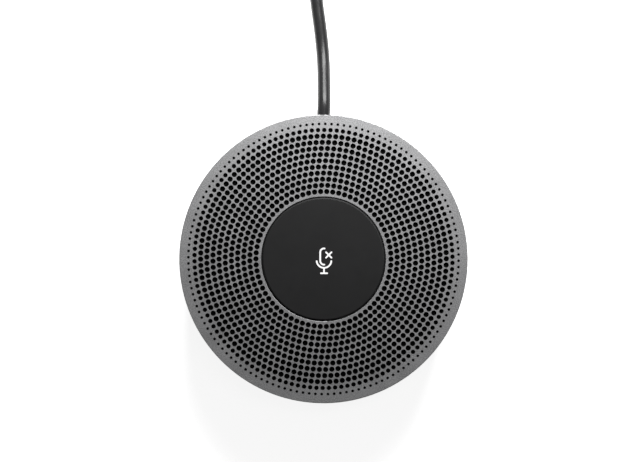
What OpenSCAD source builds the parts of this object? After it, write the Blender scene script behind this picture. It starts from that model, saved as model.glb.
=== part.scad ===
// Conference speakerphone: a round table unit with an all-round grille,
// one central mute button, a speaker, three microphones and a tied USB lead.
// Z is up, the unit stands on Z = 0, and the lead leaves the back towards +Y.

/* [Body] */
// Outer diameter of the round unit
puck_d = 83; // [80:0.5:86]
// Height of the grille's top face above the table
puck_h = 24; // [24:0.1:26]
// Height of the rubber foot under the housing
foot_h = 1.0; // [0.6:0.1:1.4]
// Radius that bellies the side of the lower housing
side_curve_r = 27.2; // [25:0.1:30]

/* [Grille] */
// Thickness of the grille's sheet metal
sheet_t = 0.8; // [0.5:0.1:0.8]
// Radius of the rounded outer edge
rim_round = 0.2; // [0.2:0.1:0.5]
// Number of rings of holes
ring_count = 12; // [6:1:12]
// Radius of the innermost ring of holes
first_ring_r = 19.42; // [19.42:0.01:19.6]
// Distance from one ring to the next
ring_pitch = 1.767; // [1.74:0.001:1.767]
// Diameter of most of the holes
hole_d = 1.54; // [1.2:0.01:1.54]

/* [Button] */
// Diameter of the mute button
button_d = 35.4; // [35:0.1:35.7]
// How far the button stands above the grille
button_proud = 0.4; // [0.3:0.1:0.6]
// Width of the icon's strokes
stroke_w = 0.47; // [0.4:0.01:0.6]

/* [Lead] */
// Diameter of the lead
cord_d = 3.8; // [3.5:0.1:4]
// Mean radius of the stored coil
coil_mean_r = 20.9; // [20:0.1:22]
// Height of the lead's outlet above the table
outlet_z = 7.5; // [7.4:0.1:7.6]

/* [Hidden] */
$fn = 64;
cut = 0.1;

// Body levels and radii
puck_r = puck_d / 2;
shell_r = puck_r - 0.3;
base_z = foot_h;
wall_t = 2;
floor_z = base_z + wall_t;
split_z = 17;
belly_x = shell_r - side_curve_r;
inner_r = shell_r - wall_t;
foot_in_r = 31;
foot_out_r = 34.8;
foot_groove = 1;

// Grille levels
grille_under_z = puck_h - sheet_t;
skirt_z = puck_h - 3;
skirt_in_r = puck_r - 0.8;
opening_r = button_d / 2 + 0.2;
lip_out_r = opening_r + 0.5;
cloth_t = 0.3;
frame_top_z = grille_under_z - cloth_t;
frame_t = 1.5;
frame_z = frame_top_z - frame_t;

// Button levels
button_r = button_d / 2;
button_top_z = puck_h + button_proud;
cap_t = 1.4;
cap_under_z = button_top_z - cap_t;
lens_t = 0.5;
lens_r = 6.5;
guide_pcd_r = 13.7;
guide_r = 1;
guide_clearance = 0.06;
guide_angles = [90, 210, 330];
hub_floor_z = 18.8;
board_t = 1;
hub_board_z = hub_floor_z + board_t;
hub_board_top = hub_board_z + board_t;
hub_in_r = 18.9;
hub_out_r = 20;
ear_angles = [30, 150, 270];
ear_pcd_r = 22.5;

// Speaker levels
speaker_seat_z = 17;
gasket_t = 0.4;
basket_top_z = speaker_seat_z - gasket_t;
basket_r = 22;
basket_t = 0.8;
speaker_angles = [0, 120, 240];
speaker_pcd_r = 24;
coil_in_r = 8.95;
coil_out_r = 9.5;
cone_edge_r = 16.4;
magnet_r = 8.2;
pole_r = 8.6;
yoke_in_r = 9.9;
yoke_r = 11.3;
yoke_z = 4;
yoke_top_z = 9.8;

// Screws and boards
screw_angles = [45, 135, 225, 315];
screw_pcd_r = 28.5;
column_top_z = 14;
board_z = 4.4;
board_top_z = board_z + board_t;
board_in_r = 13.6;
board_out_r = 33.5;
board_screw_pcd_r = 30.8;
mic_angles = [30, 150, 270];
mic_pcd_r = 35.1;
mic_well_z = frame_z - 1.8;
mic_well_r = 3.45;
mic_flange_t = 0.6;
mic_pocket_h = 2.2;
mic_capsule_r = 1.95;

// Outlet and lead
outlet_face_y = 38.3;
outlet_inner_y = 34.6;
gland_end_y = 41.2;
gland_start_y = 33;
cord_r = cord_d / 2;
coil_x = -20.5;
coil_y = 109;
coil_half_w = 6.7;
coil_h = 14;
tie_w = 10;
tie_t = 0.8;

// The lead's route on the table, from the outlet to the coil
CORD_ROUTE = [
  [0, 41.2, 7.5], [0, 45, 7.5], [0, 50.5, 5.6], [-0.1, 57, 3.1], [-0.5, 63, 2],
  [-1.1, 69, 1.9], [-1.9, 75, 1.9], [-2.4, 81, 1.9], [-2.2, 88, 1.9]
];
// The route from the top of the coil to the plug
TAIL_ROUTE = [
  [2, 91, 10.4], [8, 92, 7.2], [13, 92.6, 4.2], [17.6, 94.8, 2.2], [20.6, 98.8, 2],
  [21.8, 103, 3], [22, 106.5, 4], [22, 108, 4]
];

// Plug, lying on the table and pointing to +Y
plug_x = 22;
plug_y = 108;
plug_z = 4;
relief_len = 7;
cover_y = plug_y + relief_len;
cover_len = 21;
cover_w = 15.6;
cover_h = 8;
shell_y = cover_y + cover_len;
shell_len = 12;
shell_w = 12;
shell_h = 4.5;
shell_t = 0.3;

// ---- Shared shapes ----

// Copies of a child on a circle
module on_circle(radius, angles) {
  for (a = angles)
    rotate(a)
      translate([radius, 0, 0])
        children();
}

// A flat ring of height h
module ring(outer, inner, h) {
  difference() {
    cylinder(r = outer, h = h);
    translate([0, 0, -cut])
      cylinder(r = inner, h = h + 2 * cut);
  }
}

// A cylinder along Y from y0 to y1 at height z
module rod_y(radius, y0, y1, x = 0, z = 0) {
  translate([x, y0, z])
    rotate([-90, 0, 0])
      cylinder(r = radius, h = y1 - y0);
}

// A pan-head screw with a cross recess, standing on its shank's lower end, head on top
module screw(shank_r, shank_h, head_r, head_h) {
  recess = head_h / 2;
  slot_w = head_r * 0.28;
  slot_len = head_r * 1.2;
  cylinder(r = shank_r, h = shank_h, $fn = 24);
  translate([0, 0, shank_h])
    difference() {
      cylinder(r = head_r, h = head_h, $fn = 32);
      translate([0, 0, head_h - recess / 2 + cut / 2]) {
        cube([slot_len, slot_w, recess + cut], center = true);
        cube([slot_w, slot_len, recess + cut], center = true);
      }
    }
}

// A flat rounded rectangle centred on the origin
module rounded_rect(w, h, r) {
  square([w - 2 * r, h], center = true);
  square([w, h - 2 * r], center = true);
  for (sx = [-1, 1], sy = [-1, 1])
    translate([sx * (w / 2 - r), sy * (h / 2 - r)])
      circle(r = r, $fn = 32);
}

// Sector between two radii, as an outline
module sector(r_in, r_out, angle) {
  intersection() {
    difference() {
      circle(r = r_out);
      circle(r = r_in);
    }
    polygon([
      [0, 0],
      [2 * r_out * cos(angle / 2), -2 * r_out * sin(angle / 2)],
      [2 * r_out * cos(angle / 2), 2 * r_out * sin(angle / 2)]
    ]);
  }
}

// Direction of a route at point i
function route_way(path, i) =
  let(a = path[max(i - 1, 0)], b = path[min(i + 1, len(path) - 1)])
  (b - a) / norm(b - a);

// One ring of points round a route's point, square to the route
function route_ring(path, i, radius, sides, up) =
  let(
    way = route_way(path, i),
    side_raw = cross(way, up),
    side = side_raw / norm(side_raw),
    top = cross(side, way)
  )
  [for (k = [0 : sides - 1])
    path[i] + radius * (cos(k * 360 / sides) * side + sin(k * 360 / sides) * top)];

// A closed tube swept along a route
module swept_tube(path, radius, sides = 8, up = [0, 0, 1]) {
  n = len(path);
  points = [for (i = [0 : n - 1]) each route_ring(path, i, radius, sides, up)];
  walls = [
    for (i = [0 : n - 2], k = [0 : sides - 1])
      let(next = (k + 1) % sides)
      [i * sides + k, i * sides + next, (i + 1) * sides + next, (i + 1) * sides + k]
  ];
  start = [for (k = [sides - 1 : -1 : 0]) k];
  end = [for (k = [0 : sides - 1]) (n - 1) * sides + k];
  polyhedron(points, concat([start], walls, [end]), convexity = 6);
}

// ---- Housing ----

// Half outline of the bellied tub, inset by t and cut off below z0
module tub_outline(t, z0, z1) {
  intersection() {
    translate([belly_x, split_z])
      circle(r = side_curve_r - t, $fn = 128);
    translate([0, z0])
      square([puck_r, z1 - z0]);
  }
}

module lower_housing() {
  color([0.13, 0.13, 0.14])
    difference() {
      union() {
        rotate_extrude($fn = 128)
          difference() {
            tub_outline(0, base_z, split_z);
            tub_outline(wall_t, floor_z, split_z + 1);
          }
        on_circle(screw_pcd_r, screw_angles)
          translate([0, 0, floor_z - cut])
            cylinder(r = 2.6, h = column_top_z - floor_z + cut);
        on_circle(board_screw_pcd_r, speaker_angles)
          translate([0, 0, floor_z - cut])
            cylinder(r = 2, h = board_z - floor_z + cut);
        rod_y(4.6, outlet_inner_y, outlet_face_y, z = outlet_z);
      }
      translate([0, 0, base_z - cut])
        ring(foot_out_r, foot_in_r, foot_groove + cut);
      on_circle(screw_pcd_r, screw_angles)
        translate([0, 0, base_z - cut]) {
          cylinder(r = 2.1, h = 1.6 + cut);
          cylinder(r = 1.1, h = column_top_z);
        }
      on_circle(board_screw_pcd_r, speaker_angles)
        translate([0, 0, 2.3])
          cylinder(r = 0.7, h = board_z);
      rod_y(3, outlet_inner_y - 1, outlet_face_y + 1, z = outlet_z);
      rod_y(4, outlet_face_y, puck_r, z = outlet_z);
    }
}

module foot_ring() {
  mid_r = (foot_in_r + foot_out_r) / 2;
  width = foot_out_r - foot_in_r;
  edge = 0.4;
  color([0.1, 0.1, 0.1])
    rotate_extrude($fn = 128)
      translate([mid_r, 0]) {
        translate([-width / 2 + edge, 0])
          square([width - 2 * edge, edge]);
        translate([-width / 2, edge])
          square([width, base_z + foot_groove - edge]);
        for (side = [-1, 1])
          translate([side * (width / 2 - edge), edge])
            circle(r = edge, $fn = 24);
      }
}

module base_screws() {
  head_z = base_z + 1.6;
  shank_h = 15;
  color([0.3, 0.3, 0.32])
    on_circle(screw_pcd_r, screw_angles)
      translate([0, 0, head_z + shank_h])
        rotate([180, 0, 0])
          screw(1, shank_h, 1.9, 1.2);
}

// Half outline of the side band, the step that the grille fits over, and the frame's plate
module upper_outline() {
  plate_in_r = hub_out_r + 0.1;
  polygon([
    [inner_r - 1, split_z - 1.2], [inner_r - 0.1, split_z - 1.2], [inner_r - 0.1, split_z],
    [shell_r, split_z], [shell_r, skirt_z - 0.2], [skirt_in_r - 0.1, skirt_z - 0.2],
    [skirt_in_r - 0.1, frame_top_z], [plate_in_r, frame_top_z], [plate_in_r, frame_z],
    [inner_r, frame_z], [inner_r, split_z + 0.6], [inner_r - 1, split_z - 0.4]
  ]);
}

// Half outline of the flared sound guide over the speaker
module guide_outline() {
  polygon([
    [19.8, speaker_seat_z], [26.8, speaker_seat_z], [31.4, frame_z], [29.8, frame_z],
    [25.6, speaker_seat_z + 1], [19.8, speaker_seat_z + 1]
  ]);
}

module upper_housing() {
  color([0.13, 0.13, 0.14])
    difference() {
      union() {
        rotate_extrude($fn = 128)
          upper_outline();
        rotate_extrude($fn = 128)
          guide_outline();
        on_circle(speaker_pcd_r, speaker_angles)
          translate([0, 0, speaker_seat_z])
            cylinder(r = 1.9, h = 2.6);
        on_circle(screw_pcd_r, screw_angles)
          translate([0, 0, column_top_z])
            cylinder(r = 2.4, h = 5);
        on_circle(mic_pcd_r, mic_angles)
          translate([0, 0, mic_well_z])
            cylinder(r = 4.4, h = frame_z - mic_well_z + cut);
      }
      for (a = [0 : 60 : 300])
        rotate(a)
          translate([0, 0, frame_z - cut])
            linear_extrude(frame_t + 2 * cut)
              sector(21.4, 29.6, 50);
      on_circle(mic_pcd_r, mic_angles)
        translate([0, 0, mic_well_z - cut])
          cylinder(r = mic_well_r, h = 4);
      on_circle(speaker_pcd_r, speaker_angles)
        translate([0, 0, speaker_seat_z - cut])
          cylinder(r = 0.85, h = 2.2);
      on_circle(screw_pcd_r, screw_angles)
        translate([0, 0, column_top_z - cut])
          cylinder(r = 1.05, h = 4.2);
      on_circle(ear_pcd_r, ear_angles)
        translate([0, 0, frame_z - cut])
          cylinder(r = 0.85, h = 1.2);
      translate([-25.9, -2.6, speaker_seat_z - cut])
        cube([1.4, 5.2, 1.4]);
    }
}

// ---- Grille ----

// Holes get smaller in the two rings next to the rim
function hole_r(i) =
  i == ring_count - 1 ? hole_d * 0.26 : i == ring_count - 2 ? hole_d * 0.42 : hole_d / 2;

// One ring of round holes; each ring has six more holes than the one inside it
module hole_ring(i) {
  count = 70 + 6 * i;
  for (k = [0 : count - 1])
    rotate((k + 0.97 + 0.34 * i) * 360 / count)
      translate([first_ring_r + ring_pitch * i, 0, grille_under_z - cut])
        cylinder(r = hole_r(i), h = sheet_t + 2 * cut, $fn = 24);
}

// Half outline of the pressed sheet with its rounded rim, skirt and inner lip
module grille_outline() {
  lip_h = 2;
  lip_round = 0.15;
  translate([opening_r + lip_round, grille_under_z])
    square([puck_r - rim_round - opening_r - lip_round, sheet_t]);
  translate([skirt_in_r, skirt_z])
    square([puck_r - skirt_in_r, puck_h - skirt_z - rim_round]);
  translate([puck_r - rim_round, puck_h - rim_round])
    circle(r = rim_round, $fn = 32);
  translate([opening_r, puck_h - lip_h])
    square([lip_out_r - opening_r, lip_h - lip_round]);
  translate([opening_r + lip_round, puck_h - lip_round])
    circle(r = lip_round, $fn = 32);
}

module top_grille() {
  color([0.55, 0.55, 0.56])
    difference() {
      rotate_extrude($fn = 128)
        grille_outline();
      for (i = [0 : ring_count - 1])
        hole_ring(i);
    }
}

module acoustic_cloth() {
  color([0.05, 0.05, 0.05])
    translate([0, 0, frame_top_z])
      ring(40.2, lip_out_r + 0.15, cloth_t, $fn = 128);
}

// ---- Button ----

module button_housing() {
  bush_r = 1.7;
  color([0.16, 0.16, 0.17])
    difference() {
      union() {
        translate([0, 0, hub_floor_z])
          cylinder(r = hub_out_r, h = board_t, $fn = 128);
        translate([0, 0, hub_floor_z])
          ring(hub_out_r, hub_in_r, frame_top_z - hub_floor_z, $fn = 128);
        on_circle(guide_pcd_r, guide_angles)
          translate([0, 0, hub_floor_z])
            cylinder(r = bush_r, h = 2 * board_t);
        on_circle(ear_pcd_r, ear_angles)
          translate([0, 0, frame_z - frame_t]) {
            cylinder(r = 2.5, h = frame_t);
            translate([hub_in_r + 0.4 - ear_pcd_r, -2.5, 0])
              cube([ear_pcd_r - hub_in_r - 0.4, 5, frame_t]);
          }
      }
      on_circle(guide_pcd_r, guide_angles)
        translate([0, 0, hub_floor_z - cut])
          cylinder(r = guide_r + guide_clearance, h = 3);
      on_circle(ear_pcd_r, ear_angles)
        translate([0, 0, frame_z - frame_t - cut])
          cylinder(r = 1, h = frame_t + 2 * cut);
      translate([-14.6, -2.4, hub_floor_z - cut])
        cube([1.6, 4.8, board_t + 2 * cut]);
    }
}

module hub_screws() {
  shank_h = 2.5;
  color([0.5, 0.5, 0.52])
    on_circle(ear_pcd_r, ear_angles)
      translate([0, 0, frame_z - frame_t + shank_h])
        rotate([180, 0, 0])
          screw(0.8, shank_h, 1.4, 0.9);
}

module button_board() {
  color([0.05, 0.25, 0.15])
    translate([0, 0, hub_board_z])
      difference() {
        cylinder(r = 16, h = board_t);
        on_circle(guide_pcd_r, guide_angles)
          translate([0, 0, -cut])
            cylinder(r = 1.8, h = board_t + 2 * cut);
      }
}

module tactile_switch() {
  color([0.75, 0.75, 0.76])
    translate([0, 0, hub_board_top])
      difference() {
        translate([-3, -3, 0])
          cube([6, 6, 1]);
        translate([0, 0, 0.2])
          cylinder(r = 1.6, h = 1);
      }
}

module icon_leds() {
  color([0.95, 0.95, 0.85])
    on_circle(4.7, [0 : 90 : 270])
      translate([-0.4, -0.8, hub_board_top])
        cube([0.8, 1.6, 0.7]);
}

// A straight stroke with round ends
module stroke(from, to) {
  way = to - from;
  translate(from)
    rotate(atan2(way[1], way[0]))
      translate([0, -stroke_w / 2])
        square([norm(way), stroke_w]);
  for (end = [from, to])
    translate(end)
      circle(r = stroke_w / 2, $fn = 24);
}

// A round stroke from angle a0 through sweep degrees, below 180, with round ends
module arc_stroke(radius, a0, sweep) {
  reach = 9;
  intersection() {
    difference() {
      circle(r = radius + stroke_w / 2);
      circle(r = radius - stroke_w / 2);
    }
    rotate(a0)
      polygon(reach * [[0, 0], [1, 0], 2 * [cos(sweep / 2), sin(sweep / 2)], [cos(sweep), sin(sweep)]]);
  }
  for (a = [a0, a0 + sweep])
    rotate(a)
      translate([radius, 0])
        circle(r = stroke_w / 2, $fn = 24);
}

// A microphone with its right side cut away for a small cross
module mute_icon() {
  axis_x = 0.15;
  capsule_r = 1.08;
  capsule_top = 1.96;
  capsule_low = -0.54;
  cradle_r = 2.11;
  cradle_y = -0.43;
  base_y = -4.09;
  cross_at = [1.51, 1.16];
  cross_half = 0.77;
  translate([axis_x, capsule_top])
    arc_stroke(capsule_r, 82, 98);
  translate([axis_x, capsule_low])
    arc_stroke(capsule_r, 180, 95);
  stroke([axis_x - capsule_r, capsule_low], [axis_x - capsule_r, capsule_top]);
  translate([axis_x, cradle_y]) {
    arc_stroke(cradle_r, 185, 85);
    arc_stroke(cradle_r, 270, 85);
  }
  stroke([axis_x, cradle_y - cradle_r], [axis_x, base_y]);
  stroke([axis_x - 0.9, base_y], [axis_x + 0.9, base_y]);
  for (slope = [-1, 1])
    stroke(cross_at - cross_half * [1, slope], cross_at + cross_half * [1, slope]);
}

// Half outline of the cap: round-edged top, skirt and the flange that stays under the grille's lip
module cap_outline() {
  edge = 0.5;
  skirt_in = button_r - 1.25;
  flange_z = puck_h - 3;
  translate([0, cap_under_z])
    square([button_r - edge, cap_t]);
  translate([skirt_in, flange_z])
    square([button_r - skirt_in, button_top_z - flange_z - edge]);
  translate([button_r - edge, button_top_z - edge])
    circle(r = edge, $fn = 32);
  translate([skirt_in, flange_z])
    square([lip_out_r - 0.05 - skirt_in, 0.9]);
}

module mute_button() {
  guide_end_z = hub_floor_z + 0.2;
  color([0.12, 0.12, 0.13])
    union() {
      difference() {
        rotate_extrude($fn = 128)
          cap_outline();
        translate([0, 0, cap_under_z - cut])
          linear_extrude(cap_t + 2 * cut)
            mute_icon();
      }
      on_circle(guide_pcd_r, guide_angles)
        translate([0, 0, guide_end_z])
          cylinder(r = guide_r, h = cap_under_z - guide_end_z + cut);
    }
}

module button_icon() {
  color([0.95, 0.95, 0.95])
    union() {
      translate([0, 0, cap_under_z - lens_t])
        cylinder(r = lens_r, h = lens_t);
      translate([0, 0, cap_under_z - cut])
        linear_extrude(cap_t + cut)
          mute_icon();
    }
}

module switch_plunger() {
  top_z = cap_under_z - lens_t;
  color([0.1, 0.1, 0.1])
    translate([0, 0, top_z - 0.9])
      cylinder(r = 1.5, h = 0.9);
}

module return_ring() {
  color([0.8, 0.8, 0.8, 0.6])
    translate([0, 0, hub_board_top])
      ring(11.6, 10, cap_under_z - hub_board_top);
}

// ---- Speaker ----

module speaker_gasket() {
  color([0.1, 0.1, 0.1])
    translate([0, 0, basket_top_z])
      ring(basket_r, 19.8, gasket_t);
}

module speaker_basket() {
  floor_r = 13.4;
  color([0.25, 0.25, 0.27])
    difference() {
      union() {
        rotate_extrude()
          polygon([
            [18.4, basket_top_z], [basket_r, basket_top_z], [basket_r, basket_top_z - basket_t],
            [19.6, basket_top_z - basket_t], [floor_r + 0.4, 9], [yoke_r, 9],
            [yoke_r, yoke_top_z], [floor_r, yoke_top_z], [18.4, 15.4]
          ]);
        on_circle(speaker_pcd_r, speaker_angles)
          translate([0, 0, basket_top_z - basket_t])
            difference() {
              cylinder(r = 2, h = basket_t);
              translate([0, 0, -cut])
                cylinder(r = 0.95, h = basket_t + 2 * cut);
            }
      }
      for (a = [45 : 90 : 315])
        rotate(a)
          translate([0, 0, 11])
            linear_extrude(3.6)
              sector(12, 21, 50);
    }
}

module speaker_screws() {
  shank_h = 3;
  color([0.5, 0.5, 0.52])
    on_circle(speaker_pcd_r, speaker_angles)
      translate([0, 0, basket_top_z - basket_t + shank_h])
        rotate([180, 0, 0])
          screw(0.8, shank_h, 1.4, 0.9);
}

module speaker_yoke() {
  yoke_floor = 1.5;
  color([0.6, 0.6, 0.62])
    translate([0, 0, yoke_z])
      difference() {
        cylinder(r = yoke_r, h = yoke_top_z - yoke_z);
        translate([0, 0, yoke_floor])
          cylinder(r = yoke_in_r, h = 10);
      }
}

module speaker_magnet() {
  color([0.35, 0.35, 0.37])
    translate([0, 0, yoke_z + 1.5])
      cylinder(r = magnet_r, h = 2.8);
}

module speaker_pole_plate() {
  color([0.65, 0.65, 0.67])
    translate([0, 0, yoke_z + 4.3])
      cylinder(r = pole_r, h = 1.5);
}

module speaker_surround() {
  roll_r = 1;
  color([0.08, 0.08, 0.08])
    rotate_extrude()
      intersection() {
        translate([cone_edge_r + roll_r, basket_top_z - 0.2])
          difference() {
            circle(r = roll_r, $fn = 32);
            circle(r = roll_r - 0.3, $fn = 32);
          }
        translate([cone_edge_r, basket_top_z - 0.2])
          square([2 * roll_r, roll_r]);
      }
}

module speaker_spider() {
  color([0.7, 0.6, 0.35])
    translate([0, 0, 10.3])
      ring(13.3, coil_out_r, 0.3);
}

module speaker_cone() {
  rim_z = basket_top_z - 0.2;
  color([0.1, 0.1, 0.1])
    rotate_extrude()
      polygon([
        [coil_out_r, 11.8], [cone_edge_r, rim_z - 0.5], [cone_edge_r, rim_z],
        [cone_edge_r - 0.6, rim_z], [coil_out_r, 12.3]
      ]);
}

module dust_cap() {
  coil_top_z = 12.6;
  dome_h = 2.5;
  dome_r = (pow(coil_out_r, 2) + pow(dome_h, 2)) / (2 * dome_h);
  color([0.15, 0.15, 0.15])
    rotate_extrude()
      intersection() {
        translate([0, coil_top_z + dome_h - dome_r])
          difference() {
            circle(r = dome_r, $fn = 128);
            circle(r = dome_r - 0.3, $fn = 128);
          }
        translate([0, coil_top_z])
          square([coil_out_r, dome_h]);
      }
}

module voice_coil() {
  color([0.72, 0.42, 0.2])
    translate([0, 0, 7.4])
      ring(coil_out_r, coil_in_r, 5.2);
}

module speaker_leads() {
  apart = [0.3, 0.2, 0.5];
  color([0.7, 0.1, 0.1])
    for (side = [-1, 1])
      translate(side * apart)
        swept_tube([
          [19.6, -8, 14.4], [20.8, -8, 13.6], [22, -6.4, 12], [22, -2.4, 11.2], [22, 0.6, 10.5]
        ], 0.4, 6);
}

// ---- Microphones ----

// Rubber boots with a flange under the well and a sound port above the capsule
module mic_boots() {
  color([0.07, 0.07, 0.07])
    on_circle(mic_pcd_r, mic_angles)
      translate([0, 0, mic_well_z - mic_flange_t])
        difference() {
          union() {
            cylinder(r = 3.9, h = mic_flange_t);
            cylinder(r = mic_well_r - 0.05, h = frame_top_z - mic_well_z + mic_flange_t);
          }
          translate([0, 0, -cut])
            cylinder(r = mic_capsule_r + 0.05, h = mic_pocket_h + cut);
          cylinder(r = 0.6, h = 5);
        }
}

module mic_capsules() {
  color([0.75, 0.75, 0.76])
    on_circle(mic_pcd_r, mic_angles)
      translate([0, 0, mic_well_z - mic_flange_t + 0.3])
        cylinder(r = mic_capsule_r, h = mic_pocket_h - 0.3);
}

// Thin leads from each capsule down to the board
module mic_leads() {
  color([0.75, 0.75, 0.7])
    on_circle(mic_pcd_r, mic_angles)
      for (side = [-0.6, 0.6])
        swept_tube([
          [0, side, mic_well_z - mic_flange_t + 0.2], [-0.2, side, 17], [-1.5, side, 13],
          [-4, side, 10.4], [-5, side, 8.8]
        ], 0.35, 6, [0, 1, 0]);
}

// ---- Main board ----

module main_board() {
  color([0.05, 0.25, 0.15])
    difference() {
      translate([0, 0, board_z])
        ring(board_out_r, board_in_r, board_t);
      on_circle(screw_pcd_r, screw_angles)
        translate([0, 0, board_z - cut])
          cylinder(r = 2.8, h = board_t + 2 * cut);
      on_circle(board_screw_pcd_r, speaker_angles)
        translate([0, 0, board_z - cut])
          cylinder(r = 0.9, h = board_t + 2 * cut);
      translate([-5.5, 32.4, board_z - cut])
        cube([11, 3, board_t + 2 * cut]);
    }
}

module board_screws() {
  shank_h = 3;
  color([0.5, 0.5, 0.52])
    on_circle(board_screw_pcd_r, speaker_angles)
      translate([0, 0, board_top_z - shank_h])
        screw(0.65, shank_h, 1.5, 0.8);
}

// Square chips, each as its X, its Y and its side
module board_chips() {
  chip_h = 0.9;
  color([0.08, 0.08, 0.09])
    for (chip = [[0, -22, 9], [-11, -21, 6], [12, -21, 5], [-22, 11, 5]])
      translate([chip[0] - chip[2] / 2, chip[1] - chip[2] / 2, board_top_z])
        cube([chip[2], chip[2], chip_h]);
}

module board_capacitors() {
  color([0.7, 0.7, 0.72])
    on_circle(24, [335, 350, 200, 215])
      translate([0, 0, board_top_z])
        cylinder(r = 2, h = 3.2);
}

module cord_header() {
  color([0.9, 0.9, 0.86])
    translate([-3.75, 25.25, board_top_z])
      cube([7.5, 4.5, 4]);
}

// Two-pin and four-pin sockets for the speaker, the microphones and the flex
module small_headers() {
  header_h = 3;
  color([0.9, 0.9, 0.86])
    union() {
      translate([20, -1.8, board_top_z])
        cube([4, 5, 4]);
      on_circle(30, mic_angles)
        translate([-2, -1.8, board_top_z])
          cube([3.4, 3.6, header_h]);
      translate([-26.4, -3, board_top_z])
        cube([2.5, 6, header_h]);
    }
}

module button_flex() {
  flex_w = 4;
  flex_t = 0.3;
  near_x = -13.7;
  far_x = -25;
  top_z = hub_board_z;
  run_z = hub_floor_z - 0.6;
  end_z = board_top_z + 3;
  color([0.8, 0.5, 0.1])
    translate([0, flex_w / 2, 0])
      rotate([90, 0, 0])
        linear_extrude(flex_w)
          polygon([
            [near_x, top_z], [near_x, run_z], [far_x, run_z], [far_x, end_z],
            [far_x - flex_t, end_z], [far_x - flex_t, run_z + flex_t],
            [near_x - flex_t, run_z + flex_t], [near_x - flex_t, top_z]
          ]);
}

// ---- Lead ----

module inner_lead() {
  header_y = 29.75;
  jacket_y = 31.4;
  color([0.12, 0.12, 0.13])
    union() {
      rod_y(cord_r, jacket_y, gland_start_y, z = outlet_z);
      for (dx = [-0.8, 0.8], dz = [-0.8, 0.8])
        rod_y(0.45, header_y, jacket_y + cut, x = dx, z = outlet_z + dz);
    }
}

module cord_gland() {
  color([0.1, 0.1, 0.1])
    translate([0, 0, outlet_z])
      rotate([-90, 0, 0])
        rotate_extrude()
          polygon([
            [0, gland_start_y], [4.2, gland_start_y], [4.2, outlet_inner_y], [2.95, outlet_inner_y],
            [2.95, outlet_face_y], [3.6, outlet_face_y], [3.6, 39.4], [2.7, gland_end_y],
            [0, gland_end_y]
          ]);
}

module cord() {
  color([0.2, 0.2, 0.21])
    swept_tube(CORD_ROUTE, cord_r);
}

module cord_tail() {
  color([0.2, 0.2, 0.21])
    swept_tube(TAIL_ROUTE, cord_r);
}

// The band round one side of the coil
module tie_band() {
  window_w = 2 * coil_half_w - 0.8;
  window_h = coil_h - 2 * tie_t;
  translate([coil_x - coil_mean_r, coil_y + tie_w / 2, coil_h / 2])
    rotate([90, 0, 0])
      linear_extrude(tie_w)
        difference() {
          rounded_rect(window_w + 2 * tie_t, window_h + 2 * tie_t, 2.4);
          rounded_rect(window_w, window_h, 1.6);
        }
}

module cord_coil() {
  color([0.2, 0.2, 0.21])
    difference() {
      translate([coil_x, coil_y, 0])
        rotate_extrude($fn = 96)
          translate([coil_mean_r, coil_h / 2])
            rounded_rect(2 * coil_half_w, coil_h, cord_r);
      tie_band();
    }
}

module cord_tie() {
  color([0.1, 0.1, 0.1])
    tie_band();
}

// ---- Plug ----

module plug_relief() {
  color([0.12, 0.12, 0.13])
    translate([plug_x, plug_y, plug_z])
      rotate([-90, 0, 0])
        cylinder(r1 = cord_r + 0.4, r2 = 3.4, h = relief_len);
}

module plug_cover() {
  color([0.12, 0.12, 0.13])
    translate([plug_x, cover_y + cover_len, plug_z])
      rotate([90, 0, 0])
        linear_extrude(cover_len)
          rounded_rect(cover_w, cover_h, 1.6);
}

// Thin steel shell with its two latch windows on top
module plug_shell() {
  window = 2.2;
  color([0.8, 0.8, 0.82])
    translate([plug_x, shell_y, plug_z])
      difference() {
        rotate([-90, 0, 0])
          linear_extrude(shell_len)
            difference() {
              square([shell_w, shell_h], center = true);
              square([shell_w - 2 * shell_t, shell_h - 2 * shell_t], center = true);
            }
        for (side = [-1, 1])
          translate([side * 3 - window / 2, 5.2, 0])
            cube([window, window, shell_h]);
      }
}

module plug_tongue() {
  tongue_h = 1.9;
  color([0.92, 0.92, 0.9])
    translate([plug_x - shell_w / 2 + shell_t, shell_y, plug_z - shell_h / 2 + shell_t])
      cube([shell_w - 2 * shell_t, shell_len - 0.5, tongue_h]);
}

module plug_contacts() {
  contact_z = plug_z - shell_h / 2 + shell_t + 1.9;
  color([0.85, 0.65, 0.25])
    for (x = [-3.5, -1, 1, 3.5])
      translate([plug_x + x - 0.5, shell_y, contact_z])
        cube([1, shell_len - 1.5, 0.15]);
}

lower_housing();
foot_ring();
base_screws();
upper_housing();
top_grille();
acoustic_cloth();
button_housing();
hub_screws();
button_board();
tactile_switch();
icon_leds();
mute_button();
button_icon();
switch_plunger();
return_ring();
speaker_gasket();
speaker_basket();
speaker_screws();
speaker_yoke();
speaker_magnet();
speaker_pole_plate();
speaker_surround();
speaker_spider();
speaker_cone();
dust_cap();
voice_coil();
speaker_leads();
mic_boots();
mic_capsules();
mic_leads();
main_board();
board_screws();
board_chips();
board_capacitors();
cord_header();
small_headers();
button_flex();
inner_lead();
cord_gland();
cord();
cord_coil();
cord_tail();
cord_tie();
plug_relief();
plug_cover();
plug_shell();
plug_tongue();
plug_contacts();
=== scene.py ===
"""Looks of a round conference speakerphone: its lead, grille, button, plug and materials."""

import math

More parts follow.
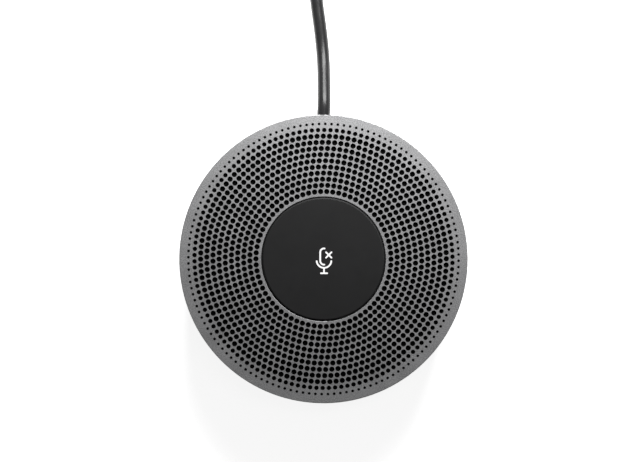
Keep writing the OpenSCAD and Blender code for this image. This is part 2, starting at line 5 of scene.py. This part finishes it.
import bmesh
import bpy
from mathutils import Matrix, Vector


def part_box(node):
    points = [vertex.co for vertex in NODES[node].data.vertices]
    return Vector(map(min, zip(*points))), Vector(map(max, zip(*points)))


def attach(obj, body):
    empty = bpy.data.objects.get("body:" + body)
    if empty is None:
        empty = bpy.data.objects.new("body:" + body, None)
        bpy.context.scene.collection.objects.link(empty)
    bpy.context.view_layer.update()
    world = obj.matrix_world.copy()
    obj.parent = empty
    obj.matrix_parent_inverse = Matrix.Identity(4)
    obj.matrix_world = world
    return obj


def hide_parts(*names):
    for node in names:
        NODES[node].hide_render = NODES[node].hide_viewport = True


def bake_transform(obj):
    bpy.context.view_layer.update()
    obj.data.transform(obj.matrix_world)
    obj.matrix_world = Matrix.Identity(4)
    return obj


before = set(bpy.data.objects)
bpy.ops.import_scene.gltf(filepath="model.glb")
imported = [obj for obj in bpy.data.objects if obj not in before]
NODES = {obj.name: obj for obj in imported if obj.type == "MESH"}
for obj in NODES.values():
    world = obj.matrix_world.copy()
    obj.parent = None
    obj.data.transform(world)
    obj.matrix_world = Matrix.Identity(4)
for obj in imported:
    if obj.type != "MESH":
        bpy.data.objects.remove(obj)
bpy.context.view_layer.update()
MM = 0.001

# ---- Camera: straight down on the unit, with the lead leaving towards the top ----

LENS = 200.0
SENSOR = 36.0
FRAME_WIDTH = 184.0 * MM      # width of the picture at the grille's top face
LOOK_AT = (-1.0 * MM, 8.05 * MM)


def make_camera():
    top_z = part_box("top_grille")[1].z
    data = bpy.data.cameras.new("camera")
    data.lens = LENS
    data.sensor_width = SENSOR
    data.clip_start = 0.01
    camera = bpy.data.objects.new("camera", data)
    camera.location = (*LOOK_AT, top_z + FRAME_WIDTH * LENS / SENSOR)
    bpy.context.scene.collection.objects.link(camera)
    bpy.context.scene.camera = camera


make_camera()

# ---- The lead ----

CORD_D = 3.8
CORD_ROUTE = [
    (0, 41.2, 7.5), (0.2, 45, 7.5), (0.2, 50.5, 5.6), (0.05, 57, 3.1), (-0.4, 63, 2),
    (-1.1, 69, 1.9), (-1.9, 75, 1.9), (-2.4, 81, 1.9), (-2.2, 88, 1.9),
]
INTO_COIL = [(-0.6, 94.5, 1.9)]
OUT_OF_COIL = [(-18, 87.3, 12), (-11, 88.4, 12.6), (-4.5, 90, 12.2)]
TAIL_ROUTE = [
    (2, 91, 10.4), (8, 92, 7.2), (13, 92.6, 4.2), (17.6, 94.8, 2.2), (20.6, 98.8, 2),
    (21.8, 103, 3), (22, 106.5, 4), (22, 108, 4),
]
COIL_X, COIL_Y, COIL_R = -20.5, 109.0, 20.9
COIL_START_DEG = -20.0
ROW_RISE = CORD_D * math.sqrt(3) / 2   # rows lie in the grooves of the row below
ROW_SHIFT = CORD_D / 4
TURNS_IN_ROW = 3
COIL_TURNS = 10.78
TURN_STEPS = 32
STEP_OVER = (0.78, 0.97)               # part of each turn where it moves to its next place
CROSSING_LIFT = 0.45                   # rise for each row below, where a turn steps over
SPAN_STEPS = 4                         # points for each span between the listed points


def smooth(t):
    t = min(max(t, 0.0), 1.0)
    return t * t * (3 - 2 * t)


def turn_place(k):
    """Radius and height of turn k: rows are filled inwards and outwards by turns."""
    row, i = divmod(k, TURNS_IN_ROW)
    inwards = row % 2 == 0
    column = 1 - i if inwards else i - 1
    shift = -ROW_SHIFT if inwards else ROW_SHIFT
    return COIL_R + column * CORD_D + shift, CORD_D / 2 + row * ROW_RISE, row


def coil_points():
    """The turns as one run of points; near the end of each turn it steps over to its next place."""
    points = []
    steps = int(COIL_TURNS * TURN_STEPS)
    for n in range(steps + 1):
        t = n / TURN_STEPS
        k, part = int(t), t - int(t)
        r0, z0, row0 = turn_place(k)
        r1, z1, row1 = turn_place(k + 1)
        w = smooth((part - STEP_OVER[0]) / (STEP_OVER[1] - STEP_OVER[0]))
        lift = CROSSING_LIFT * 4 * w * (1 - w) * (row0 + (row1 - row0) * w)
        r = r0 + (r1 - r0) * w
        a = math.radians(COIL_START_DEG + 360 * t)
        z = z0 + (z1 - z0) * w + lift
        points.append((COIL_X + r * math.cos(a), COIL_Y + r * math.sin(a), z))
    return points


def spline_value(a, b, c, d, t):
    """Value at share t of the way from b to c, on a smooth curve past a, b, c and d."""
    squared = (2 * a - 5 * b + 4 * c - d) * t ** 2
    cubed = (3 * b - a - 3 * c + d) * t ** 3
    return 0.5 * (2 * b + (c - a) * t + squared + cubed)


def spline_through(points):
    """Points on a smooth curve through the given ones, SPAN_STEPS for each span."""
    out = []
    for i in range(len(points) - 1):
        p0, p1 = points[max(i - 1, 0)], points[i]
        p2, p3 = points[i + 1], points[min(i + 2, len(points) - 1)]
        for s in range(SPAN_STEPS):
            t = s / SPAN_STEPS
            out.append(tuple(spline_value(*axis, t) for axis in zip(p0, p1, p2, p3)))
    out.append(points[-1])
    return out


def make_cord():
    """The whole lead as one round curve, from the grommet to the plug's strain relief."""
    coil = coil_points()
    lead_in = spline_through(CORD_ROUTE + INTO_COIL + coil[:2])[:-SPAN_STEPS]
    lead_out = spline_through(coil[-2:] + OUT_OF_COIL + TAIL_ROUTE)[SPAN_STEPS:]
    points = lead_in + coil[1:-1] + lead_out
    data = bpy.data.curves.new("lead", "CURVE")
    data.dimensions = "3D"
    data.bevel_depth = 1.0                 # each point's radius scales this
    data.bevel_resolution = 8
    data.use_fill_caps = True
    spline = data.splines.new("POLY")
    spline.points.add(len(points) - 1)
    for point, place in zip(spline.points, points):
        point.co = (*(c * MM for c in place), 1)
        point.radius = CORD_D / 2 * MM
    spline.use_smooth = True
    cord = bpy.data.objects.new("lead", data)
    bpy.context.scene.collection.objects.link(cord)
    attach(cord, "base")
    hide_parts("cord", "cord_coil", "cord_tail")
    return cord


cord = make_cord()

# ---- Mesh helpers ----


def mesh_object(name, mesh, body, smooth_angle=35.0):
    """A finished bmesh as an object that rides on a body, or on none yet."""
    bmesh.ops.recalc_face_normals(mesh, faces=mesh.faces)
    data = bpy.data.meshes.new(name)
    mesh.to_mesh(data)
    mesh.free()
    for face in data.polygons:
        face.use_smooth = True
    data.set_sharp_from_angle(angle=math.radians(smooth_angle))
    made = bpy.data.objects.new(name, data)
    bpy.context.scene.collection.objects.link(made)
    if body:
        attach(made, body)
    return made


def rounded_outline(width, height, radius, steps=6):
    """Corner-rounded rectangle round the origin, anticlockwise."""
    points = []
    for quarter, (sx, sy) in enumerate(((1, 1), (-1, 1), (-1, -1), (1, -1))):
        for s in range(steps + 1):
            a = math.radians(90 * quarter + 90 * s / steps)
            points.append((
                sx * (width / 2 - radius) + radius * math.cos(a),
                sy * (height / 2 - radius) + radius * math.sin(a),
            ))
    return points


def divided(outline, longest):
    """The outline with points added, so that no edge is longer than this."""
    out = []
    for a, b in zip(outline, outline[1:] + outline[:1]):
        parts = math.ceil(math.dist(a, b) / longest)
        step_x, step_y = (b[0] - a[0]) / parts, (b[1] - a[1]) / parts
        out += [(a[0] + step_x * i, a[1] + step_y * i) for i in range(parts)]
    return out


def loft(mesh, rings, closed_ends=True):
    """Joins rings of equally many points into a skin, with flat ends."""
    made = [[mesh.verts.new(p) for p in ring] for ring in rings]
    count = len(made[0])
    for a, b in zip(made, made[1:]):
        for i in range(count):
            j = (i + 1) % count
            mesh.faces.new((a[i], a[j], b[j], b[i]))
    if closed_ends:
        mesh.faces.new(made[0])
        mesh.faces.new(made[-1])
    return made


# ---- Plug ----

PLUG_LOW, PLUG_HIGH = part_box("plug_cover")
PLUG_MID = (PLUG_LOW + PLUG_HIGH) / 2
RELIEF_LOW, RELIEF_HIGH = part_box("plug_relief")


def make_plug_cover():
    """Overmoulded grip: softly rounded block with shallow grip grooves on both broad faces."""
    width = PLUG_HIGH.x - PLUG_LOW.x
    height = PLUG_HIGH.z - PLUG_LOW.z
    length = PLUG_HIGH.y - PLUG_LOW.y
    corner, edge = 1.9 * MM, 1.2 * MM
    longest_edge = 0.8 * MM
    groove_pitch, groove_depth = 1.6 * MM, 0.3 * MM
    groove_from, groove_to = 4.5 * MM, 15.5 * MM
    groove_width, groove_fade = 0.78, 0.08        # as shares of the cover's width
    stations = 140
    full = divided(rounded_outline(width, height, corner), longest_edge)
    mesh = bmesh.new()
    rings = []
    for n in range(stations + 1):
        along = length * n / stations
        end = min(along, length - along)
        pull = edge - math.sqrt(max(edge ** 2 - max(edge - end, 0) ** 2, 0)) if end < edge else 0.0
        groove = 0.0
        if groove_from < along < groove_to:
            wave = math.sin(math.pi * (along - groove_from) / groove_pitch) ** 2
            groove = groove_depth * smooth(wave)
        ring = []
        for x, z in full:
            inner = smooth((groove_width * width / 2 - abs(x)) / (groove_fade * width))
            inner *= smooth(abs(z) / height * 4 - 1)
            x *= 1 - 2 * pull / width
            z *= 1 - 2 * pull / height
            z -= math.copysign(groove * inner, z)
            ring.append((PLUG_MID.x + x, PLUG_LOW.y + along, PLUG_MID.z + z))
        rings.append(ring)
    loft(mesh, rings)
    cover = mesh_object("plug_grip", mesh, "base")
    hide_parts("plug_cover")
    return cover


def make_plug_relief():
    """Tapered strain relief with bending slots all round."""
    length = RELIEF_HIGH.y - RELIEF_LOW.y
    thick = (RELIEF_HIGH.z - RELIEF_LOW.z) / 2
    thin = (CORD_D / 2 + 0.5) * MM
    end_round = 0.25 * MM
    rib_count, slot_depth = 4, 0.45 * MM
    slots_from, slots_to = 0.08, 0.94             # as shares of the length
    stations, sides = 72, 40
    mesh = bmesh.new()
    rings = []
    for n in range(stations + 1):
        t = n / stations
        radius = thin + (thick - thin) * t ** 1.4
        wave = math.sin(math.pi * rib_count * t)
        if slots_from < t < slots_to:
            radius -= slot_depth * smooth((abs(wave) - 0.62) / 0.25)
        radius -= end_round * (1 - smooth(t / 0.05))
        rings.append([
            (
                PLUG_MID.x + radius * math.cos(2 * math.pi * s / sides),
                RELIEF_LOW.y + length * t,
                PLUG_MID.z + radius * math.sin(2 * math.pi * s / sides),
            )
            for s in range(sides)
        ])
    loft(mesh, rings)
    relief = mesh_object("plug_strain_relief", mesh, "base")
    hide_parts("plug_relief")
    return relief


def cut_out(target, cutters):
    """Takes the cutters' shapes out of a mesh object for good."""
    for cutter in cutters:
        cut = target.modifiers.new("cut", "BOOLEAN")
        cut.object = cutter
        cut.operation = "DIFFERENCE"
        cut.solver = "EXACT"
    bpy.context.view_layer.update()
    shown = target.evaluated_get(bpy.context.evaluated_depsgraph_get())
    finished = bpy.data.meshes.new_from_object(shown)
    target.modifiers.clear()
    target.data = finished
    for cutter in cutters:
        bpy.data.objects.remove(cutter)


def block(name, low, high):
    """A box that cut_out takes away again."""
    mesh = bmesh.new()
    loft(mesh, [
        [(x, y, z) for x, z in ((low[0], low[2]), (high[0], low[2]), (high[0], high[2]), (low[0], high[2]))]
        for y in (low[1], high[1])
    ])
    bmesh.ops.recalc_face_normals(mesh, faces=mesh.faces)
    data = bpy.data.meshes.new(name)
    mesh.to_mesh(data)
    mesh.free()
    made = bpy.data.objects.new(name, data)
    bpy.context.scene.collection.objects.link(made)
    return made


def make_plug_shell():
    """Folded sheet-metal shell with a rolled mouth and two latch windows on each broad face."""
    low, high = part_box("plug_shell")
    middle = (low + high) / 2
    sheet = 0.3 * MM
    corner, inner_corner = 0.75 * MM, 0.3 * MM
    width, height = high.x - low.x, high.z - low.z
    mesh = bmesh.new()
    rings = []
    for y, pull in (
        (low.y, 0), (high.y - 0.35 * MM, 0), (high.y - 0.1 * MM, 0.06 * MM), (high.y, 0.18 * MM),
        (high.y, sheet), (high.y - 0.3 * MM, sheet), (low.y, sheet),
    ):
        radius = max(corner - pull, inner_corner)
        outline = rounded_outline(width - 2 * pull, height - 2 * pull, radius)
        rings.append([(middle.x + x, y, middle.z + z) for x, z in outline])
    made = loft(mesh, rings, closed_ends=False)
    count = len(made[0])
    for i in range(count):
        j = (i + 1) % count
        mesh.faces.new((made[-1][i], made[-1][j], made[0][j], made[0][i]))
    shell = mesh_object("plug_mouth", mesh, "base", 30)
    window_w, window_l = 2.0 * MM, 2.2 * MM
    window_x, window_y = 2.6 * MM, 5.2 * MM
    cutters = []
    for side in (-1, 1):
        x = middle.x + side * window_x
        y = low.y + window_y
        cutters.append(block(
            "window",
            (x - window_w / 2, y, low.z - sheet),
            (x + window_w / 2, y + window_l, low.z + 1.5 * sheet),
        ))
        cutters.append(block(
            "window",
            (x - window_w / 2, y, high.z - 1.5 * sheet),
            (x + window_w / 2, y + window_l, high.z + sheet),
        ))
    cut_out(shell, cutters)
    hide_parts("plug_shell")
    return shell


# ---- Coil tie ----

TIE_LOW, TIE_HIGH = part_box("cord_tie")


def make_tie():
    """Hook-and-loop strap drawn round the coil, its end lapped down over its start on the outside."""
    mid = (TIE_LOW + TIE_HIGH) / 2
    width = TIE_HIGH.y - TIE_LOW.y
    thick = 0.9 * MM
    corner, steps = 3.4 * MM, 10
    lap_step, lap_steps = 0.25 * MM, 21
    round_x, round_z = TIE_HIGH.x - TIE_LOW.x - thick, TIE_HIGH.z - TIE_LOW.z - thick
    outline = rounded_outline(round_x, round_z, corner, steps)
    first = 2 * (steps + 1) - 1                    # where the upper left corner ends
    loop = outline[first:] + outline[:first]
    left = loop[0][0]
    run = [(x, z, 0.0) for x, z in loop[:-steps]]
    run += [(x, z, smooth(i / steps)) for i, (x, z) in enumerate(loop[-steps:])]
    run += [(left, loop[0][1] - lap_step * i, 1.0) for i in range(1, lap_steps + 1)]
    across = 12
    mesh = bmesh.new()
    rings = []
    for i, (x, z, lapped) in enumerate(run):
        after, before = run[min(i + 1, len(run) - 1)], run[max(i - 1, 0)]
        way = Vector((after[0] - before[0], after[1] - before[1])).normalized()
        out = Vector((way.y, -way.x))
        inside = thick * lapped - thick / 2
        ring = []
        for side, order in ((1.0, range(across + 1)), (0.0, range(across, -1, -1))):
            for s in order:
                edge = abs(2 * s / across - 1) ** 10
                reach = inside + thick * (side + (0.5 - side) * 0.5 * edge)
                y = width * (s / across - 0.5)
                ring.append((mid.x + x + out.x * reach, mid.y + y, mid.z + z + out.y * reach))
        rings.append(ring)
    loft(mesh, rings)
    tie = mesh_object("coil_strap", mesh, "base", 50)
    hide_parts("cord_tie")
    return tie


# ---- Soft rings of the speaker, turned round the unit's axis ----


def revolved(name, profile_mm):
    """A closed half outline of (radius, height) turned round the unit's axis, on no body."""
    segments = 144
    mesh = bmesh.new()
    rings = []
    for n in range(segments):
        a = 2 * math.pi * n / segments
        cos, sin = math.cos(a), math.sin(a)
        rings.append([mesh.verts.new((r * MM * cos, r * MM * sin, z * MM)) for r, z in profile_mm])
    count = len(profile_mm)
    for n in range(segments):
        ring, following = rings[n], rings[(n + 1) % segments]
        for i in range(count):
            j = (i + 1) % count
            mesh.faces.new((ring[i], ring[j], following[j], following[i]))
    return mesh_object(name, mesh, None, 40)


def hang_between(piece):
    """Bakes the piece's placement into its mesh; it rides on no body."""
    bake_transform(piece)


def make_surround():
    """Half-round rubber roll between the cone's rim and the basket."""
    middle_r, low_z, roll_r, wall = 17.4, 16.4, 1.0, 0.3
    steps = 20

    def half_round(radius):
        angles = [math.pi * i / steps for i in range(steps + 1)]
        return [(middle_r + radius * math.cos(a), low_z + radius * math.sin(a)) for a in angles]

    outside = half_round(roll_r)
    inside = half_round(roll_r - wall)[::-1]
    roll = revolved("surround_roll", outside + inside)
    hang_between(roll)
    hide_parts("speaker_surround")
    return roll


def make_spider():
    """Pressed cloth ring with round corrugations, from the basket's ledge to the voice coil."""
    inner_r, outer_r, low_z = 9.5, 13.3, 10.3
    thick, wave_h, waves = 0.12, 0.24, 4
    steps = 64
    under, over = [], []
    for i in range(steps + 1):
        t = i / steps
        r = inner_r + (outer_r - inner_r) * t
        z = low_z + wave_h * (1 - math.cos(2 * math.pi * waves * t)) / 2
        under.append((r, z))
        over.append((r, z + thick))
    spider = revolved("spider_corrugated", under + over[::-1])
    hang_between(spider)
    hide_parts("speaker_spider")
    return spider


def make_return_ring():
    """Silicone spring ring: a broad foot and a thin waist under a rounded top."""
    low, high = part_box("return_ring")
    bottom, top = low.z / MM, high.z / MM
    profile = [
        (10.0, bottom), (11.6, bottom), (11.6, bottom + 0.35), (11.3, bottom + 0.5), (10.95, bottom + 0.85),
        (10.9, top - 0.5), (11.1, top - 0.15), (11.0, top), (10.4, top), (10.25, top - 0.15),
        (10.4, top - 0.5), (10.45, bottom + 0.85), (10.3, bottom + 0.5), (10.0, bottom + 0.35),
    ]
    ring = revolved("return_spring", profile)
    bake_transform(ring)
    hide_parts("return_ring")
    return ring


soft_rings = {
    "speaker_surround": make_surround(),
    "speaker_spider": make_spider(),
    "return_ring": make_return_ring(),
}
plug_cover = make_plug_cover()
plug_relief = make_plug_relief()
plug_shell = make_plug_shell()
tie = make_tie()

# ---- Materials ----


BANDS_AT_SCALE_1 = 0.314               # spacing of a wave texture's bands at a scale of one


class Shader:
    """A Principled material whose detail comes from nodes in object space."""

    def __init__(self, name, color, roughness, metallic=0.0):
        self.material = bpy.data.materials.new(name)
        self.material.use_nodes = True
        self.nodes = self.material.node_tree.nodes
        self.links = self.material.node_tree.links
        self.shader = self.nodes["Principled BSDF"]
        self.shader.inputs["Metallic"].default_value = metallic
        self.color, self.roughness = color, roughness
        self.shader.inputs["Base Color"].default_value = (*color, 1)
        self.shader.inputs["Roughness"].default_value = roughness
        self.place = self.nodes.new("ShaderNodeTexCoord").outputs["Object"]
        self.height = None

    def set(self, socket, value):
        self.shader.inputs[socket].default_value = value

    def mapped(self, scale):
        mapping = self.nodes.new("ShaderNodeMapping")
        mapping.inputs["Scale"].default_value = scale
        self.links.new(self.place, mapping.inputs["Vector"])
        return mapping.outputs["Vector"]

    def noise(self, size_mm, detail=3.0, stretch=(1, 1, 1)):
        node = self.nodes.new("ShaderNodeTexNoise")
        node.inputs["Scale"].default_value = 1 / (size_mm * MM)
        node.inputs["Detail"].default_value = detail
        self.links.new(self.mapped(stretch), node.inputs["Vector"])
        return node.outputs["Fac"]

    def ranged(self, value, low, high):
        """Spreads the middle of a texture's values between low and high."""
        node = self.nodes.new("ShaderNodeMapRange")
        node.inputs["From Min"].default_value = 0.3
        node.inputs["From Max"].default_value = 0.7
        node.inputs["To Min"].default_value = low
        node.inputs["To Max"].default_value = high
        self.links.new(value, node.inputs["Value"])
        return node.outputs["Result"]

    def vary_color(self, value, low, high):
        """Base colour between low and high times the material's own colour."""
        mix = self.nodes.new("ShaderNodeMix")
        mix.data_type = "RGBA"
        mix.inputs["A"].default_value = (*(c * low for c in self.color), 1)
        mix.inputs["B"].default_value = (*(min(c * high, 1) for c in self.color), 1)
        self.links.new(self.ranged(value, 0, 1), mix.inputs["Factor"])
        self.links.new(mix.outputs["Result"], self.shader.inputs["Base Color"])

    def vary_roughness(self, value, spread):
        result = self.ranged(value, self.roughness - spread, self.roughness + spread)
        self.links.new(result, self.shader.inputs["Roughness"])

    def bump(self, value, height_mm, strength):
        node = self.nodes.new("ShaderNodeBump")
        node.inputs["Distance"].default_value = height_mm * MM
        node.inputs["Strength"].default_value = strength
        self.links.new(value, node.inputs["Height"])
        if self.height is not None:
            self.links.new(self.height, node.inputs["Normal"])
        self.height = node.outputs["Normal"]
        self.links.new(self.height, self.shader.inputs["Normal"])
        return self

    def weave(self, pitch_mm):
        """Height of a plain weave: two crossed sets of round threads."""
        total = None
        for axis in range(2):
            wave = self.nodes.new("ShaderNodeTexWave")
            wave.bands_direction = "XY"[axis]
            wave.inputs["Scale"].default_value = BANDS_AT_SCALE_1 / (pitch_mm * MM)
            wave.inputs["Distortion"].default_value = 0.3
            self.links.new(self.place, wave.inputs["Vector"])
            if total is None:
                total = wave.outputs["Fac"]
            else:
                node = self.nodes.new("ShaderNodeMath")
                node.operation = "MULTIPLY"
                self.links.new(total, node.inputs[0])
                self.links.new(wave.outputs["Fac"], node.inputs[1])
                total = node.outputs["Value"]
        return total


def grille_metal():
    made = Shader("grille_metal", (0.285, 0.285, 0.289), 0.5, metallic=0.9)
    made.vary_color(made.noise(0.3, 3), 0.6, 1.4)
    made.vary_roughness(made.noise(6), 0.04)
    return made.bump(made.noise(0.3, 5), 0.03, 0.5).material


def moulded(name, color, roughness, grain_mm=0.25, grain_depth=0.01, specular=0.5):
    """Moulded plastic or rubber with a fine spark-eroded grain and faint handling marks."""
    made = Shader(name, color, roughness)
    made.set("Specular IOR Level", specular)
    made.vary_color(made.noise(9, 2), 0.93, 1.07)
    made.vary_roughness(made.noise(4, 4), 0.05)
    return made.bump(made.noise(grain_mm, 4), grain_depth, 0.6).material


def metal(name, color, roughness, stretch=(1, 1, 1), depth=0.5):
    """Plated or brushed metal; stretch draws its grain out along an axis."""
    made = Shader(name, color, roughness, metallic=1.0)
    grain = made.noise(0.3, 5, stretch)
    made.vary_color(made.noise(3), 0.92, 1.05)
    made.vary_roughness(grain, 0.16 * depth)
    return made.bump(grain, 0.004, depth).material


def cloth(name, color, pitch_mm):
    made = Shader(name, color, 0.9)
    made.set("Specular IOR Level", 0.08)
    threads = made.weave(pitch_mm)
    made.vary_color(threads, 0.5, 1.5)
    return made.bump(threads, pitch_mm * 0.3, 0.9).material


def icon_plastic():
    made = Shader("icon_white", (0.74, 0.74, 0.74), 0.4)
    made.set("Subsurface Weight", 0.15)
    made.set("Subsurface Radius", (0.0006, 0.0006, 0.0006))
    made.vary_color(made.noise(1.5), 0.97, 1.03)
    return made.bump(made.noise(0.2), 0.004, 0.5).material


def board_mask():
    """Solder mask over faint copper tracks."""
    made = Shader("circuit_board", (0.012, 0.10, 0.045), 0.35)
    tracks = made.noise(2.2, 1, (1, 3, 1))
    made.vary_color(tracks, 0.7, 1.5)
    return made.bump(tracks, 0.02, 0.6).material


def finish_nodes():
    """Gives every CAD node and new piece its material."""
    plastic = moulded("housing_plastic", (0.022, 0.022, 0.023), 0.5, 0.3, 0.02)
    button_plastic = moulded("button_plastic", (0.006, 0.006, 0.0062), 0.6, 0.25, 0.012, 0.2)
    rubber = moulded("rubber", (0.014, 0.014, 0.014), 0.75, 0.4, 0.02, 0.3)
    steel = metal("zinc_steel", (0.62, 0.62, 0.64), 0.35)
    black_steel = metal("black_steel", (0.08, 0.08, 0.085), 0.45)
    jacket = moulded("cord_jacket", (0.016, 0.016, 0.0165), 0.27, 0.5, 0.003, 0.22)
    board = board_mask()
    header = moulded("header_nylon", (0.75, 0.74, 0.68), 0.5)
    paper = cloth("speaker_paper", (0.02, 0.02, 0.02), 0.4)
    wire = moulded("wire_insulation", (0.45, 0.03, 0.025), 0.3)
    looks = {
        grille_metal(): ["top_grille"],
        plastic: ["lower_housing", "upper_housing", "button_housing"],
        button_plastic: ["mute_button", "switch_plunger"],
        icon_plastic(): ["button_icon"],
        rubber: ["foot_ring", "cord_gland", "mic_boots", "speaker_gasket", "speaker_surround"],
        cloth("black_cloth", (0.0008, 0.0008, 0.0008), 0.3): ["acoustic_cloth"],
        jacket: ["cord", "cord_coil", "cord_tail", "inner_lead", "plug_relief", "plug_cover"],
        cloth("tie_strap", (0.014, 0.014, 0.015), 0.6): ["cord_tie"],
        black_steel: ["base_screws", "speaker_basket"],
        steel: ["hub_screws", "speaker_screws", "board_screws", "speaker_yoke", "speaker_pole_plate",
                "tactile_switch", "mic_capsules"],
        metal("plug_steel", (0.36, 0.36, 0.37), 0.36, (1, 0.05, 1), 0.3): ["plug_shell"],
        moulded("plug_tongue", (0.8, 0.8, 0.78), 0.4): ["plug_tongue"],
        metal("contact_gold", (0.85, 0.6, 0.22), 0.25): ["plug_contacts"],
        board: ["button_board", "main_board"],
        moulded("chip_package", (0.02, 0.02, 0.021), 0.6): ["board_chips"],
        metal("capacitor_can", (0.75, 0.75, 0.77), 0.3): ["board_capacitors"],
        header: ["cord_header", "small_headers"],
        moulded("led_lens", (0.85, 0.85, 0.7), 0.2): ["icon_leds"],
        moulded("silicone", (0.6, 0.6, 0.6), 0.5): ["return_ring"],
        paper: ["speaker_cone", "dust_cap"],
        cloth("spider_cloth", (0.45, 0.33, 0.12), 0.5): ["speaker_spider"],
        metal("magnet_plate", (0.4, 0.4, 0.42), 0.4): ["speaker_magnet"],
        metal("coil_copper", (0.7, 0.3, 0.12), 0.35, (1, 1, 12)): ["voice_coil"],
        moulded("flex_film", (0.55, 0.25, 0.03), 0.3): ["button_flex"],
        wire: ["speaker_leads", "mic_leads"],
    }
    for material, names in looks.items():
        for name in names:
            NODES[name].data.materials.clear()
            NODES[name].data.materials.append(material)
    for piece in (cord, plug_cover, plug_relief):
        piece.data.materials.append(jacket)
    standing_in = [(tie, "cord_tie"), (plug_shell, "plug_shell")]
    standing_in += [(piece, node) for node, piece in soft_rings.items()]
    for piece, node in standing_in:
        piece.data.materials.clear()
        piece.data.materials.append(NODES[node].data.materials[0])


finish_nodes()

# ---- Floor and light ----


def make_floor():
    """Pale paper with some light of its own, so that it shows white in the picture."""
    half = 3.0
    mesh = bmesh.new()
    corners = [(-half, -half, 0), (half, -half, 0), (half, half, 0), (-half, half, 0)]
    mesh.faces.new([mesh.verts.new(c) for c in corners])
    data = bpy.data.meshes.new("floor")
    mesh.to_mesh(data)
    mesh.free()
    floor = bpy.data.objects.new("floor", data)
    bpy.context.scene.collection.objects.link(floor)
    made = Shader("floor_paper", (0.85, 0.85, 0.85), 0.8)
    made.set("Emission Color", (1, 1, 1, 1))
    made.set("Emission Strength", 0.85)
    made.vary_color(made.noise(60), 0.99, 1.01)
    data.materials.append(made.material)


def softbox(name, place, target, size, power):
    """A rectangular area light that faces a target."""
    data = bpy.data.lights.new(name, "AREA")
    data.shape = "RECTANGLE"
    data.size, data.size_y = size
    data.energy = power
    light = bpy.data.objects.new(name, data)
    light.location = place
    light.rotation_euler = (Vector(target) - Vector(place)).to_track_quat("-Z", "Y").to_euler()
    bpy.context.scene.collection.objects.link(light)


def make_light():
    """Faint even light, a key softbox above the unit's back and a weaker one high above."""
    world = bpy.data.worlds.new("studio")
    world.use_nodes = True
    world.node_tree.nodes["Background"].inputs["Color"].default_value = (1, 1, 1, 1)
    world.node_tree.nodes["Background"].inputs["Strength"].default_value = 0.08
    bpy.context.scene.world = world
    softbox("key", (0.024, 0.152, 0.145), (0, 0, 0.02), (0.16, 0.08), 1.0)
    softbox("top", (0.08, 0.05, 0.6), (0, 0.03, 0), (0.06, 0.14), 0.08)


make_floor()
make_light()
bpy.context.scene.view_settings.view_transform = "Standard"
